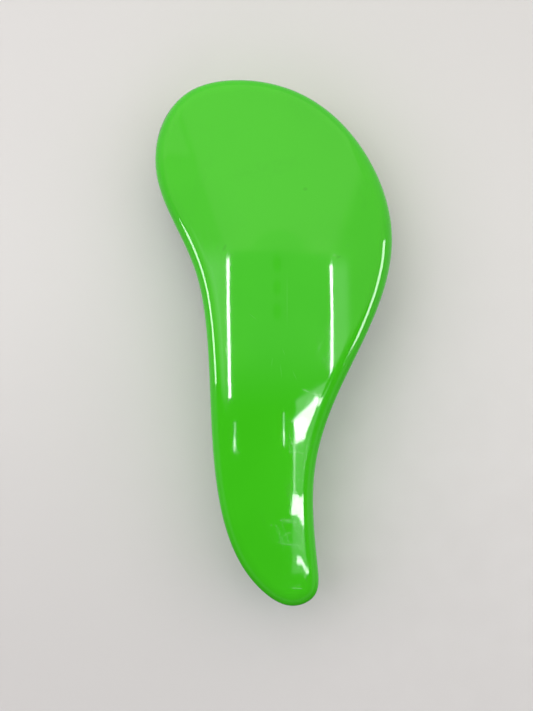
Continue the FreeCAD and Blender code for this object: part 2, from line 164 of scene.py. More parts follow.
def fine_outline(outline):
    """The outline as a dense closed polyline in metres, on a curve whose bend is continuous."""
    points = np.array(outline, float) * OUTLINE_TO_METRES
    following = np.roll(points, -1, axis=0)
    gaps = np.linalg.norm(following - points, axis=1)
    bends = bends_of(points, gaps)
    share = np.linspace(0, 1, SPAN_STEPS, endpoint=False)[:, None]
    spans = []
    for i, gap in enumerate(gaps):
        a, b = points[i], following[i]
        bend_a, bend_b = bends[i], bends[(i + 1) % len(points)]
        left, done = (1 - share) * gap, share * gap
        spans.append(
            (bend_a * left**3 + bend_b * done**3) / (6 * gap)
            + (a / gap - bend_a * gap / 6) * left
            + (b / gap - bend_b * gap / 6) * done
        )
    return np.concatenate(spans)


def evenly(path, count):
    """count + 1 points evenly spaced along an open polyline."""
    along = np.concatenate([[0], np.cumsum(np.linalg.norm(np.diff(path, axis=0), axis=1))])
    wanted = np.linspace(0, along[-1], count + 1)
    return np.stack([np.interp(wanted, along, path[:, k]) for k in (0, 1)], axis=1)


class Outline:
    """A closed outline as two halves of evenly spaced points, from the head's pole to the grip's."""

    def __init__(self, outline, half_count):
        fine = fine_outline(outline)
        head = int(np.argmax(fine[:, 1]))
        fine = np.roll(fine, -head, axis=0)
        grip = int(np.argmin(fine[:, 1]))
        left = evenly(fine[: grip + 1], half_count)
        right = evenly(np.concatenate([fine[grip:], fine[:1]]), half_count)
        self.half = half_count
        self.points = np.concatenate([left[:-1], right[:-1]])
        along = np.roll(self.points, -1, axis=0) - np.roll(self.points, 1, axis=0)
        along /= np.linalg.norm(along, axis=1)[:, None]
        self.inwards = np.stack([-along[:, 1], along[:, 0]], axis=1)

    def inset(self, distance):
        """The outline's points, moved inwards by a distance."""
        return self.points + self.inwards * distance

    def spine(self, distance, head_trim, grip_trim):
        """One point for each of the inset outline's, along the middle line, shortened at its ends."""
        ring = self.inset(distance)
        n = self.half
        pairs = [(ring[j] + ring[(2 * n - j) % (2 * n)]) / 2 for j in range(n + 1)]
        line = evenly(np.array(pairs), SPINE_STEPS)
        along = np.linspace(head_trim, 1 - grip_trim, n + 1) * SPINE_STEPS
        slots = np.arange(SPINE_STEPS + 1)
        middle = np.stack([np.interp(along, slots, line[:, k]) for k in (0, 1)], axis=1)
        return np.concatenate([middle[:-1], middle[:0:-1]])


def crown(xy, lowered=0.0):
    """Height of the arched back at points in plan, or of a surface lowered below it."""
    wide = CROWN_WIDE - lowered
    across = CROWN_TOP - lowered - wide + np.sqrt(wide**2 - xy[:, 0] ** 2)
    axis = CROWN_TOP - CROWN_LONG
    return axis + np.sqrt((across - axis) ** 2 - xy[:, 1] ** 2)


def raised(xy, z):
    """Points in plan with a height, or with one height for all."""
    return np.column_stack([xy, np.broadcast_to(z, len(xy))])


def roll_steps(count, wide, deep, power):
    """(inset, drop) from the wall to the crown along a rolled edge with no jump in its bend."""
    steps = []
    for turn in np.linspace(0, math.pi / 2, count):
        inset = wide * (1 - max(math.cos(turn), 0.0) ** (2 / power))
        drop = deep * (1 - math.sin(turn) ** (2 / power))
        steps.append((inset, drop))
    return steps


# ------------------------ meshes


def new_object(name, vertices, faces, smooth=True):
    """An object with a mesh of its own, shaded smooth or flat."""
    mesh = bpy.data.meshes.new(name)
    mesh.from_pydata([tuple(v) for v in vertices], [], faces)
    mesh.validate()
    if smooth:
        mesh.shade_smooth()
    else:
        mesh.shade_flat()
    made = bpy.data.objects.new(name, mesh)
    bpy.context.scene.collection.objects.link(made)
    return made


def close_with_slit(ring, half):
    """For a ring that has shrunk to its middle line: both sides share the same points."""
    return [min(j, 2 * half - j) for j in range(2 * half)], ring[: half + 1]


def skin(rings, half, start_slit=None, end_slit=None):
    """Vertices and faces of a surface through rings of points, each with 2 * half points."""
    vertices, faces, indices = [], [], []

    def add(points, pattern=None):
        base = len(vertices)
        vertices.extend(points)
        indices.append([base + k for k in (pattern or range(len(points)))])

    if start_slit is not None:
        pattern, points = close_with_slit(start_slit, half)
        add(points, pattern)
    for ring in rings:
        add(ring)
    if end_slit is not None:
        pattern, points = close_with_slit(end_slit, half)
        add(points, pattern)
    for a, b in zip(indices, indices[1:]):
        count = len(a)
        for j in range(count):
            k = (j + 1) % count
            corners = []
            for corner in (a[j], a[k], b[k], b[j]):
                if corner not in corners:
                    corners.append(corner)
            if len(corners) > 2:
                faces.append(corners)
    return vertices, faces


def inner_rings(outline, inset, count, head_trim, grip_trim, height):
    """Rings from an inset outline to its middle line, with the slit that closes them."""
    edge = outline.inset(inset)
    spine = outline.spine(inset, head_trim, grip_trim)
    rings = []
    for share in np.linspace(0, 1, count + 1)[1:-1]:
        eased = share * (1 + RING_EASE - RING_EASE * share)
        xy = edge + (spine - edge) * eased
        rings.append(raised(xy, height(xy)))
    return rings, raised(spine, height(spine))


def edge_rings(outline, steps, lowered=0.0):
    """Rings along a rolled edge of the crown, or of a surface lowered below it and inset as much."""
    rings = []
    for inset, drop in steps:
        xy = outline.inset(lowered + inset)
        rings.append(raised(xy, crown(xy, lowered) - drop))
    return rings


def wall_rings(outline, top):
    """Rings down the outer wall, and round its lower edge to the parting line."""
    foot = PARTING + SEAM_ROUND
    rings = []
    for share in COVER_WALL_SHARES:
        rings.append(raised(outline.points, top + (foot - top) * share))
    for turn in np.linspace(0, math.pi / 2, SEAM_STEPS):
        inset = SEAM_ROUND * (1 - math.cos(turn))
        rings.append(raised(outline.inset(inset), foot - SEAM_ROUND * math.sin(turn)))
    return rings


def tongue_rings(outline):
    """Rings round the tongue that fits the front shell's rebate, up to the foot of the hollow."""
    low = PARTING - TONGUE_DEEP
    profile = [(TONGUE_OUT, PARTING), (TONGUE_OUT, low), (TONGUE_IN, low), (WALL, PARTING)]
    return [raised(outline.inset(inset), z) for inset, z in profile]


def make_back_shell():
    """The glossy cover: crown, rolled edge, wall, tongue and the hollow inside, as one closed skin."""
    outline = Outline(BODY_OUTLINE, COVER_HALF)
    top, top_slit = inner_rings(outline, EDGE_WIDE, COVER_RINGS, HEAD_TRIM, GRIP_TRIM, crown)
    edge = roll_steps(COVER_EDGE_STEPS, EDGE_WIDE, EDGE_DEEP, EDGE_POWER)
    rings = top[::-1] + edge_rings(outline, edge[::-1])
    rings += wall_rings(outline, rings[-1][:, 2])
    rings += tongue_rings(outline)
    hollow_edge = roll_steps(HOLLOW_EDGE_STEPS, INNER_EDGE, INNER_EDGE, ROUND_POWER)
    rings += edge_rings(outline, hollow_edge, WALL)
    hollow, hollow_slit = inner_rings(
        outline, WALL + INNER_EDGE, HOLLOW_RINGS, HEAD_TRIM, GRIP_TRIM, lambda xy: crown(xy, WALL)
    )
    rings += hollow
    vertices, faces = skin(rings, COVER_HALF, start_slit=top_slit, end_slit=hollow_slit)
    return new_object("back_cover", vertices, faces)


# ------------------------ pins

WIRE = 0.25 * MM
KNEE = 6.2 * MM
KNEE_LEAN = math.radians(22)
KNEE_BEND = 1.2 * MM
CROWN_BEND = 0.5 * MM
CROWN_MIDDLE = CANVAS_HIGH.z + WIRE
TIP_CUT = 0.3 * WIRE
TIP_NARROW = 0.72
TIP_STRAY = 0.14 * MM
STRAY_SEED = 7

# Between the points of one leg and of the next there is more room than this.
LEG_GAP = 4 * WIRE


def legs_of(node):
    """Where a row's legs stand, from left to right, read from the frame's own wires."""
    points = np.array([v.co for v in NODES[node].data.vertices])
    upright = points[(points[:, 2] > KNEE + WIRE) & (points[:, 2] < CANVAS_HIGH.z)]
    across = np.sort(upright[:, 0])
    gaps = np.nonzero(np.diff(across) > LEG_GAP)[0] + 1
    starts = np.concatenate([[0], gaps, [len(across)]])
    y = (upright[:, 1].min() + upright[:, 1].max()) / 2
    return [((across[a] + across[b - 1]) / 2, y) for a, b in zip(starts, starts[1:])]


def arc(corner, before, after, radius):
    """Points round a corner between two directions that meet there."""
    half = before.angle(after) / 2
    reach = radius * math.tan(half)
    start, end = corner - before * reach, corner + after * reach
    centre = corner + (after - before).normalized() * (radius / math.cos(half))
    points = []
    for share in np.linspace(0, 1, WIRE_BEND_STEPS + 1):
        chord = start.lerp(end, share) - centre
        points.append(centre + chord.normalized() * radius)
    return points


def wire_path(left, right, stray):
    """Middle line of one two-legged wire, from the left point up, across its crown and down."""
    down = Vector((0, -math.sin(KNEE_LEAN), -math.cos(KNEE_LEAN)))
    up, across = Vector((0, 0, 1)), Vector((1, 0, 0))
    lean = KNEE / math.cos(KNEE_LEAN)
    sides = []
    for (x, y), (dx, dy) in zip((left, right), stray):
        knee = Vector((x, y, KNEE))
        tip = knee + down * (lean - WIRE * math.tan(KNEE_LEAN)) + Vector((dx, dy, 0))
        crown_corner = Vector((x, y, CROWN_MIDDLE))
        sides.append((tip, knee, crown_corner, (knee - tip).normalized()))
    (tip_a, knee_a, top_a, rise_a), (tip_b, knee_b, top_b, rise_b) = sides
    return (
        [tip_a, tip_a + rise_a * TIP_CUT]
        + arc(knee_a, rise_a, up, KNEE_BEND)
        + arc(top_a, up, across, CROWN_BEND)
        + arc(top_b, across, -up, CROWN_BEND)
        + arc(knee_b, -up, -rise_b, KNEE_BEND)
        + [tip_b + rise_b * TIP_CUT, tip_b]
    )


def add_wire(vertices, faces, path):
    """A closed tube along a path, a little narrower where its ends are cut."""
    count = len(path)
    along = [(path[min(i + 1, count - 1)] - path[max(i - 1, 0)]).normalized() for i in range(count)]
    side = along[0].orthogonal().normalized()
    base = len(vertices)
    for i, (place, direction) in enumerate(zip(path, along)):
        side = (side - direction * side.dot(direction)).normalized()
        other = direction.cross(side)
        is_end = i in (0, count - 1)
        radius = WIRE * (TIP_NARROW if is_end else 1)
        for k in range(WIRE_SIDES):
            turn = 2 * math.pi * k / WIRE_SIDES
            vertices.append(place + (side * math.cos(turn) + other * math.sin(turn)) * radius)
    for i in range(count - 1):
        ring = base + i * WIRE_SIDES
        for k in range(WIRE_SIDES):
            a, b = ring + k, ring + (k + 1) % WIRE_SIDES
            faces.append((a, b, b + WIRE_SIDES, a + WIRE_SIDES))
    last = base + (count - 1) * WIRE_SIDES
    faces.append(tuple(base + k for k in reversed(range(WIRE_SIDES))))
    faces.append(tuple(last + k for k in range(WIRE_SIDES)))


def make_wires(node, rng):
    """One row of pins, whose tips stray by a hair, and where its legs stand."""
    legs = legs_of(node)
    vertices, faces = [], []
    for left, right in zip(legs[::2], legs[1::2]):
        stray = rng.normal(0, TIP_STRAY, (2, 2))
        add_wire(vertices, faces, wire_path(left, right, stray))
    return new_object(node.replace("wire_row", "pins_row"), vertices, faces), legs


# ------------------------ the pierced plies and the foam


# The share of a ply's thickness that its edge is rounded by.
PLY_ROUND = 0.25

# A triangle whose middle is nearer to a leg than this share of the opening's radius lies in it.
IN_OPENING = 0.93

# The triangulation keeps the insides of closed lines, and takes points this near as one.
INSIDES_ONLY = 1
SAME_POINT = 1e-6

# The facing round a leg: where the lip begins, the bore, and the lip as radius and height.
RUBBER_HOLE = 0.78 * MM
RUBBER_BORE = 0.262 * MM
RUBBER_LIP = [
    (0.55 * MM, 0.10 * MM),
    (0.42 * MM, 0.26 * MM),
    (0.31 * MM, 0.25 * MM),
    (RUBBER_BORE, 0.10 * MM),
]

# The facing's outer side is off flat by this much, in waves across and along, in radians for each mm.
SAG_DEEP = 0.04 * MM
SAG_ACROSS = 0.31
SAG_ALONG = 0.23

# The canvas's opening at a leg: its radius at the faces, and inside from a bevel below them.
CANVAS_HOLE = 0.45 * MM
CANVAS_BORE = 0.3 * MM
CANVAS_BEVEL = 0.1 * MM

# The foam's soft edge: how far it is drawn in at the faces, and the power that fills it out between.
FOAM_CORNER = 0.9 * MM
FOAM_FULL = 0.6


def circle(centre, radius, sides):
    """Points evenly round a circle in plan."""
    turns = np.linspace(0, 2 * math.pi, sides, endpoint=False)
    return np.column_stack([centre[0] + radius * np.cos(turns), centre[1] + radius * np.sin(turns)])


def ply_face(edge, legs, hole, sides):
    """Triangles of a flat face with a round opening at each leg, and the points that they use."""
    points = [tuple(p) for p in edge]
    links = [(i, (i + 1) % len(edge)) for i in range(len(edge))]
    for leg in legs:
        base = len(points)
        points += [tuple(p) for p in circle(leg, hole, sides)]
        links += [(base + k, base + (k + 1) % sides) for k in range(sides)]
    flat = [Vector(p) / MM for p in points]
    made, _, triangles, sources, _, _ = delaunay_2d_cdt(flat, links, [], INSIDES_ONLY, SAME_POINT)
    assert len(made) == len(points)
    back = [s[0] for s in sources]
    centres = np.array(legs)
    kept = []
    for triangle in triangles:
        middle = sum((Vector(points[back[i]]) for i in triangle), Vector((0, 0))) / 3
        nearest = np.min(np.hypot(*(centres - middle).T))
        if nearest > hole * IN_OPENING:
            kept.append(tuple(back[i] for i in triangle))
    return points, kept


def add_ring(vertices, ring, z):
    """Adds a level ring of vertices, and gives back their numbers."""
    start = len(vertices)
    vertices += [Vector((*p, z)) for p in ring]
    return list(range(start, len(vertices)))


def stitch(faces, levels):
    """Adds the quads between rings of vertex numbers, facing outwards if the rings go up."""
    for lower, upper in zip(levels, levels[1:]):
        for j in range(len(lower)):
            k = (j + 1) % len(lower)
            faces.append((lower[j], lower[k], upper[k], upper[j]))


def make_ply(name, low, high, legs, rings, hole, sides, sag):
    """A pierced sheet: two faces, a rounded edge and, at each leg, the rings of its piercing."""
    outline = Outline(PAD_OUTLINE, PLY_HALF)
    round_edge = PLY_ROUND * (high - low)
    points, triangles = ply_face(outline.inset(BED_INSET + round_edge), legs, hole, sides)
    count, edge = len(points), len(outline.points)
    vertices = [Vector((*p, low + sag(*p))) for p in points]
    vertices += [Vector((*p, high)) for p in points]
    faces = [tuple(reversed(t)) for t in triangles]
    faces += [tuple(count + i for i in t) for t in triangles]
    levels = [list(range(edge))]
    for z in (low + round_edge, high - round_edge):
        levels.append(add_ring(vertices, outline.inset(BED_INSET), z))
    levels.append(list(range(count, count + edge)))
    stitch(faces, levels)
    for n, leg in enumerate(legs):
        start = edge + n * sides
        levels = [list(range(start, start + sides))]
        for radius, z in rings:
            levels.append(add_ring(vertices, circle(leg, radius, sides), z))
        levels.append(list(range(count + start, count + start + sides)))
        stitch(faces, levels[::-1])
    return new_object(name, vertices, faces)


def make_rubber(legs):
    """The facing of the pin bed. The wires pull up a small lip where they pierce it."""
    low, high = RUBBER_LOW.z, RUBBER_HIGH.z
    rings = [(radius, low - out) for radius, out in RUBBER_LIP]
    rings.append((RUBBER_BORE, high))

    def sag(x, y):
        across = math.sin(x / MM * SAG_ACROSS + 1)
        along = math.sin(y / MM * SAG_ALONG)
        return SAG_DEEP * (across + along) / 2

    return make_ply("rubber_pad", low, high, legs, rings, RUBBER_HOLE, RUBBER_HOLE_SIDES, sag)


def make_canvas(legs):
    """The woven ply between the facing and the foam."""
    low, high = CANVAS_LOW.z, CANVAS_HIGH.z
    rings = [(CANVAS_BORE, low + CANVAS_BEVEL), (CANVAS_BORE, high - CANVAS_BEVEL)]

    def sag(x, y):
        return 0.0

    return make_ply("canvas_backing", low, high, legs, rings, CANVAS_HOLE, CANVAS_HOLE_SIDES, sag)


def make_foam():
    """The cushion: flat against the plate and the canvas, and soft at its edge."""
    outline = Outline(PAD_OUTLINE, FOAM_HALF)
    low, high = FOAM_LOW.z, FOAM_HIGH.z

    def face(z):
        inset = FOAM_INSET + FOAM_CORNER
        return inner_rings(outline, inset, FOAM_RINGS, PAD_TRIM, PAD_TRIM, lambda xy: z)

    lower, lower_slit = face(low)
    upper, upper_slit = face(high)
    side = []
    for share in np.linspace(0, 1, FOAM_SIDE_STEPS):
        bulge = math.sin(math.pi * share) ** FOAM_FULL
        inset = FOAM_INSET + FOAM_CORNER * (1 - bulge)
        side.append(raised(outline.inset(inset), low + (high - low) * share))
    rings = lower[::-1] + side + upper
    vertices, faces = skin(rings, FOAM_HALF, start_slit=lower_slit, end_slit=upper_slit)
    return new_object("foam_pad", vertices, faces)


# ------------------------ what stands inside the cover


def add_post(vertices, faces, place, radius, foot, bore=0.0, bore_top=0.0):
    """A round post that ends in the cover's wall, with a pilot bore up its middle if it has one."""
    centre = Vector(place) * MM
    top = crown(np.array([centre]), WALL_MIDDLE)[0]
    rings = [(radius, top), (radius, foot)]
    if bore:
        rings += [(bore, foot), (bore, bore_top)]
    base = len(vertices)
    for wide, z in rings:
        vertices.extend(raised(circle(centre, wide, POST_SIDES), z))
    last = base + (len(rings) - 1) * POST_SIDES
    for ring in range(base, last, POST_SIDES):
        for k in range(POST_SIDES):
            a, b = ring + k, ring + (k + 1) % POST_SIDES
            faces.append((a, a + POST_SIDES, b + POST_SIDES, b))
    faces.append(tuple(range(base, base + POST_SIDES)))
    faces.append(tuple(reversed(range(last, last + POST_SIDES))))


def add_rib(vertices, faces, place):
    """A flat rib along the grip that ends in the cover's wall."""
    half_thick, half_long = RIB_THICK / 2, RIB_LONG / 2
    corners = [(-half_thick, -half_long), (half_thick, -half_long)]
    corners += [(half_thick, half_long), (-half_thick, half_long)]
    plan = np.array(corners) + np.array(place) * MM
    base = len(vertices)
    vertices.extend(raised(plan, RIB_BOTTOM))
    vertices.extend(raised(plan, crown(plan, WALL_MIDDLE)))
    faces.append((base + 3, base + 2, base + 1, base))
    faces.append((base + 4, base + 5, base + 6, base + 7))
    for k in range(4):
        a, b = base + k, base + (k + 1) % 4
        faces.append((a, b, b + 4, a + 4))


def make_inside():
    """Screw bosses, locating pegs and ribs, moulded in one with the cover."""
    vertices, faces = [], []
    for place in BOSS_PLACES:
        add_post(vertices, faces, place, BOSS, PLATE_TOP, BOSS_BORE, PLATE_TOP + BORE_DEEP)
    for place in PEG_PLACES:
        add_post(vertices, faces, place, PEG, PEG_FOOT)
    for place in RIB_PLACES:
        add_rib(vertices, faces, place)
    return new_object("cover_posts", vertices, faces, smooth=False)


# ------------------------ node materials


# How wide a scratch is drawn, in millimetres.
SCRATCH_WIDE = 0.34

# How soft the edges of specks, patches, scratches and broken lines are.
SPECK_CORE = 0.4
PATCH_EDGE = (1.5, 0.9)
SCRATCH_EDGE = (1.0, 0.2)
LINE_EDGE = 0.03


class Nodes:
    """A node tree, built by short calls that give back the socket to use next."""

    def __init__(self, tree):
        self.tree = tree
        tree.nodes.clear()

    def add(self, kind, sockets=None, **settings):
        """A shader node with settings, its sockets given values or linked to other sockets."""
        node = self.tree.nodes.new("ShaderNode" + kind)
        for key, value in settings.items():
            setattr(node, key, value)
        for socket, value in (sockets or {}).items():
            if isinstance(value, bpy.types.NodeSocket):
                self.tree.links.new(value, node.inputs[socket])
            else:
                node.inputs[socket].default_value = value
        return node

    def math(self, operation, *values):
        """The result of a sum on numbers and sockets."""
        return self.add("Math", dict(enumerate(values)), operation=operation).outputs[0]

    def step(self, value, start, end, low=0.0, high=1.0):
        """low up to start, high from end, and smooth between them."""
        sockets = {"Value": value, 1: start, 2: end, 3: low, 4: high}
        return self.add("MapRange", sockets, interpolation_type="SMOOTHSTEP").outputs[0]

    def blend(self, share, first, second):
        """A colour between two, each a socket or (r, g, b)."""
        colours = [c if isinstance(c, bpy.types.NodeSocket) else (*c, 1.0) for c in (first, second)]
        sockets = {0: share, 6: colours[0], 7: colours[1]}
        return self.add("Mix", sockets, data_type="RGBA").outputs[2]

    def place(self, vector, shift=(0, 0, 0), turn=0.0, scale=(1, 1, 1)):
        """Coordinates measured from a point, along axes turned about z, then scaled."""
        moved = self.add("VectorMath", {0: vector, 1: shift}, operation="SUBTRACT").outputs[0]
        sockets = {"Vector": moved, "Angle": math.radians(-turn)}
        turned = self.add("VectorRotate", sockets, rotation_type="Z_AXIS").outputs[0]
        return self.add("VectorMath", {0: turned, 1: scale}, operation="MULTIPLY").outputs[0]

    def noise(self, vector, pitch, detail=2.0, rough=0.5, warp=0.0):
        """Smooth noise from 0 to 1, whose blobs are pitch across."""
        sockets = {
            "Vector": vector,
            "Scale": 1 / pitch,
            "Detail": detail,
            "Roughness": rough,
            "Distortion": warp,
        }
        return self.add("TexNoise", sockets).outputs["Fac"]

    def cells(self, vector, pitch):
        """A node of uneven cells that are pitch across."""
        return self.add("TexVoronoi", {"Vector": vector, "Scale": 1 / pitch})

    def times(self, first, second):
        """The product of two numbers or sockets."""
        return self.math("MULTIPLY", first, second)

    def strongest(self, values):
        """The largest of some values at each place."""
        total = values[0]
        for value in values[1:]:
            total = self.math("MAXIMUM", total, value)
        return total

    def bump(self, height, depth, under=None):
        """A normal for a height from 0 to 1 that stands for depth in metres."""
        sockets = {"Height": height, "Distance": depth, "Strength": 1.0}
        if under is not None:
            sockets["Normal"] = under
        return self.add("Bump", sockets).outputs[0]


class Surface(Nodes):
    """A material with one Principled shader. mm is the place on the object in millimetres."""

    def __init__(self, name, **fixed):
        self.material = bpy.data.materials.new(name)
        self.material.use_nodes = True
        super().__init__(self.material.node_tree)
        self.shader = self.add("BsdfPrincipled", fixed)
        self.add("OutputMaterial", {"Surface": self.shader.outputs[0]})
        place = self.add("TexCoord").outputs["Object"]
        scaled = {0: place, "Scale": 1 / MM}
        self.mm = self.add("VectorMath", scaled, operation="SCALE").outputs[0]

    def give(self, socket, value):
        """Links a value to one of the shader's sockets."""
        self.tree.links.new(value, self.shader.inputs[socket])

    def specks(self, pitch, share, radius):
        """1 on small round specks, in a share of the cells that are pitch across."""
        cells = self.cells(self.mm, pitch)
        edge = radius / pitch
        near = self.step(cells.outputs["Distance"], edge, SPECK_CORE * edge)
        hue = self.add("SeparateColor", {0: cells.outputs["Color"]}).outputs[0]
        return self.times(near, self.math("LESS_THAN", hue, share))

    def patch(self, centre, turn, long, wide):
        """1 inside an ellipse with a ragged, soft edge, in millimetres and degrees."""
        local = self.place(self.mm, (*centre, 0), turn, (2 / long, 2 / wide, 0))
        reach = self.add("VectorMath", {0: local}, operation="LENGTH").outputs["Value"]
        ragged = self.math("ADD", reach, self.noise(self.mm, pitch=4.0, detail=3.0))
        return self.step(ragged, *PATCH_EDGE)

    def scratch(self, centre, turn, long):
        """1 on one thin straight mark that fades at its ends, in millimetres and degrees."""
        local = self.place(self.mm, (*centre, 0), turn, (2 / long, 2 / SCRATCH_WIDE, 0))
        reach = self.add("VectorMath", {0: local}, operation="LENGTH").outputs["Value"]
        return self.step(reach, *SCRATCH_EDGE)

    def scratches(self, turn, pitch, long, threshold):
        """Thin broken lines that run across the direction turn, fewer for a higher threshold."""
        drawn = self.place(self.mm, (0, 0, 0), turn, (1 / pitch, 1 / long, 1 / long))
        lines = self.noise(drawn, pitch=1.0, detail=1.0, rough=0.4)
        return self.step(lines, threshold, threshold + LINE_EDGE)


# Marks on the cover, each with its middle, the way it runs and its size: millimetres and degrees.
SMUDGES = [
    ((-1.0, 60.0), 12, 36, 8),
    ((-25.0, 58.0), 66, 18, 5),
    ((31.5, 51.0), 80, 17, 7),
]
NICKS = [
    ((11.0, 53.0), 0, 1.9, 1.5),
    ((22.6, 29.6), 20, 2.6, 1.4),
    ((-17.0, 32.6), 65, 3.8, 1.5),
]
NECK_SCRATCHES = [
    ((3.4, -3.2), -68, 3.6),
    ((2.5, -9.8), 96, 6.0),
    ((7.2, -11.3), -66, 4.6),
    ((-0.6, -6.8), 82, 4.2),
    ((-7.2, 8.9), -39, 5.2),
    ((11.0, -16.6), -24, 4.4),
    ((14.6, -17.9), -8, 4.6),
    ((4.6, 14.6), 90, 24.0),
]

GREEN = (0.046, 0.560, 0.0070)
GREEN_LIGHTER = (0.052, 0.590, 0.0090)
GREEN_DULLED = (0.030, 0.40, 0.006)
GREEN_DUST = (0.020, 0.23, 0.006)
GREEN_LINT = (0.45, 0.78, 0.38)
GREEN_SCRATCHED = (0.17, 0.68, 0.11)


def green_plastic():
    """Polished moulding: a little uneven in tone and gloss, with dust, hairlines and dull scuffs."""
    n = Surface("green_gloss", IOR=1.5)
    cloud = n.step(n.noise(n.mm, pitch=45.0), 0.35, 0.65)
    colour = n.blend(cloud, GREEN, GREEN_LIGHTER)

    smudges = n.strongest([n.patch(*mark) for mark in SMUDGES])
    mottle = n.step(n.noise(n.mm, pitch=2.2, detail=5.0, rough=0.7), 0.30, 0.70)
    worn = n.times(smudges, mottle)
    nicks = n.strongest([n.patch(*mark) for mark in NICKS])
    dull = n.math("MULTIPLY_ADD", nicks, 0.38, n.times(worn, 0.10))
    colour = n.blend(dull, colour, GREEN_DULLED)

    dust = n.specks(pitch=17.0, share=0.45, radius=0.34)
    colour = n.blend(n.times(dust, 0.75), colour, GREEN_DUST)
    lint = n.specks(pitch=9.0, share=0.12, radius=0.22)
    colour = n.blend(n.times(lint, 0.7), colour, GREEN_LINT)
    neck = n.strongest([n.scratch(*mark) for mark in NECK_SCRATCHES])
    n.give("Base Color", n.blend(n.times(neck, 0.30), colour, GREEN_SCRATCHED))

    hairlines = n.strongest([
        n.scratches(turn=18, pitch=0.22, long=26, threshold=0.68),
        n.scratches(turn=-34, pitch=0.20, long=19, threshold=0.69),
        n.scratches(turn=83, pitch=0.20, long=30, threshold=0.70),
    ])
    handled = n.step(n.noise(n.mm, pitch=28.0, detail=3.0), 0.45, 0.7)
    marks = n.strongest([n.times(hairlines, handled), neck])
    smears = n.noise(n.mm, pitch=14.0, detail=5.0, rough=0.6)
    film = n.step(smears, 0.3, 0.75, low=0.034, high=0.064)
    rough = n.math("ADD", film, n.times(worn, 0.04))
    n.give("Roughness", n.math("ADD", rough, n.times(marks, 0.16)))
    waves = n.bump(n.noise(n.mm, pitch=11.0, detail=2.0, rough=0.35), 0.014 * MM)
    n.give("Normal", n.bump(marks, -0.004 * MM, waves))
    return n.material


CHARCOAL = (0.026, 0.027, 0.029)
CHARCOAL_LIGHTER = (0.040, 0.041, 0.043)
CHARCOAL_RUBBED = (0.075, 0.076, 0.078)


def charcoal_plastic():
    """The bezel: spark-eroded texture, rubbed paler on its highest grain."""
    n = Surface("charcoal_texture", IOR=1.5)
    grain = n.noise(n.mm, pitch=0.30, detail=3.0, rough=0.7)
    pits = n.cells(n.mm, pitch=0.42).outputs["Distance"]
    tone = n.step(n.noise(n.mm, pitch=9.0, detail=3.0), 0.3, 0.7)
    colour = n.blend(tone, CHARCOAL, CHARCOAL_LIGHTER)
    n.give("Base Color", n.blend(n.step(grain, 0.62, 0.8), colour, CHARCOAL_RUBBED))
    n.give("Roughness", n.step(tone, 0.0, 1.0, low=0.48, high=0.62))
    n.give("Normal", n.bump(n.math("ADD", grain, n.times(pits, 0.6)), 0.05 * MM))
    return n.material


RUBBER = (0.052, 0.052, 0.055)
# Painted shade for the hollows of the pores.
RUBBER_PORE_SHADE = (0.020, 0.020, 0.022)
RUBBER_DUST = (0.20, 0.195, 0.185)


def pad_rubber():
    """Matt grey facing with fine pores, darkened by painted shade, and pale dust between the pins."""
    n = Surface("rubber_matt", IOR=1.5)
    solid = n.step(n.cells(n.mm, pitch=0.55).outputs["Distance"], 0.15, 0.38)
    dusty = n.step(n.noise(n.mm, pitch=6.0, detail=5.0, rough=0.6), 0.45, 0.75)
    # Painted shade in the pores, where the bump is low.
    colour = n.blend(solid, RUBBER_PORE_SHADE, RUBBER)
    n.give("Base Color", n.blend(n.times(dusty, 0.35), colour, RUBBER_DUST))
    n.give("Roughness", n.step(dusty, 0.0, 1.0, low=0.66, high=0.86))
    fine = n.noise(n.mm, pitch=0.35, detail=3.0, rough=0.6)
    n.give("Normal", n.bump(n.math("ADD", n.times(solid, 0.6), fine), 0.06 * MM))
    return n.material


# How far apart the canvas's threads are, in millimetres.
THREAD_PITCH = 0.62
# The darkest thread colour is painted shade in the gaps between threads.
THREAD_GAP_SHADE = (0.20, 0.18, 0.14)
THREAD_HIGH = (0.50, 0.46, 0.37)
THREAD_SLUB = (0.58, 0.54, 0.45)


def plain_weave():
    """Canvas: warp over weft in squares, with painted shade between the threads and paler slubs."""
    n = Surface("canvas_weave", IOR=1.5, **{"Sheen Weight": 0.2})
    x, y, _ = n.add("SeparateXYZ", {0: n.mm}).outputs
    turns = math.pi / THREAD_PITCH
    across = n.math("SINE", n.times(x, turns))
    along = n.math("SINE", n.times(y, turns))
    over = n.step(n.times(across, along), -0.15, 0.15)
    warp = n.times(n.math("ABSOLUTE", across), over)
    weft = n.times(n.math("ABSOLUTE", along), n.math("SUBTRACT", 1.0, over))
    height = n.math("ADD", warp, weft)
    slubs = n.noise(n.place(n.mm, scale=(1.0, 0.15, 1.0)), pitch=0.8, detail=3.0)
    # Painted shade where the weave is low, between the threads.
    colour = n.blend(n.step(height, 0.1, 0.9), THREAD_GAP_SHADE, THREAD_HIGH)
    n.give("Base Color", n.blend(n.step(slubs, 0.5, 0.75), colour, THREAD_SLUB))
    n.give("Roughness", n.step(slubs, 0.3, 0.7, low=0.78, high=0.92))
    n.give("Normal", n.bump(height, 0.12 * MM))
    return n.material


FOAM_GREY = (0.50, 0.51, 0.52)
FOAM_PALER = (0.60, 0.60, 0.60)
# Painted shade inside the open cells.
FOAM_CELL_SHADE = (0.16, 0.16, 0.17)


